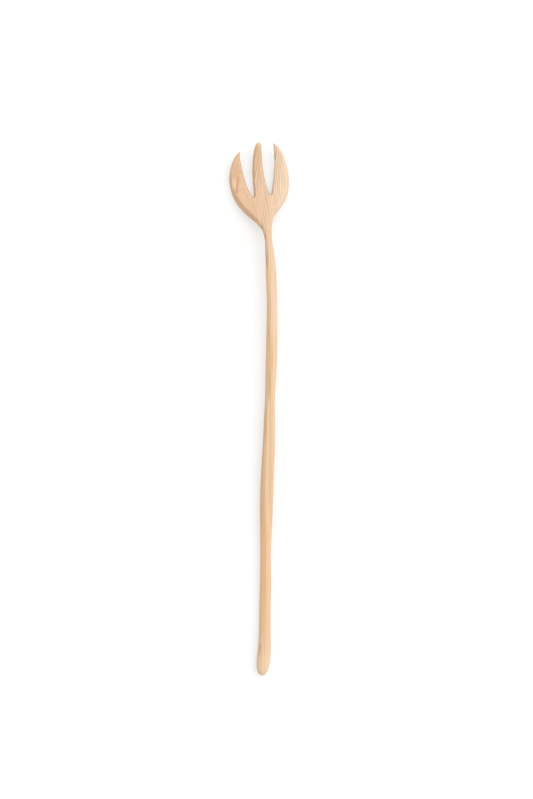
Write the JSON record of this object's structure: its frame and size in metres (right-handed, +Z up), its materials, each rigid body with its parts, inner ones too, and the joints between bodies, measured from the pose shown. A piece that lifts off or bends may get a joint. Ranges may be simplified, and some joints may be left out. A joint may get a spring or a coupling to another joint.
{
  "type": "long-handled wooden fork",
  "caption": "Slender hand-carved wooden fork: broad curved tines on a small palm, and a long gently bent handle with a rounded butt.",
  "frame": {"origin": "centre of the fork's bounding box, on the surface it rests on", "axes": "+Y from the butt of the handle towards the tines, +Z up out of the palm's hollow side, +X to the right when the tines point away"},
  "size_m": [0.0405, 0.36, 0.0113],
  "materials": {
    "carved_wood": "pale fine-grained hardwood, knife-cut and lightly sanded, oiled to a soft satin"
  },
  "bodies": {
    "root": {"carved_fork": "carved_wood"}
  },
  "joints": []
}
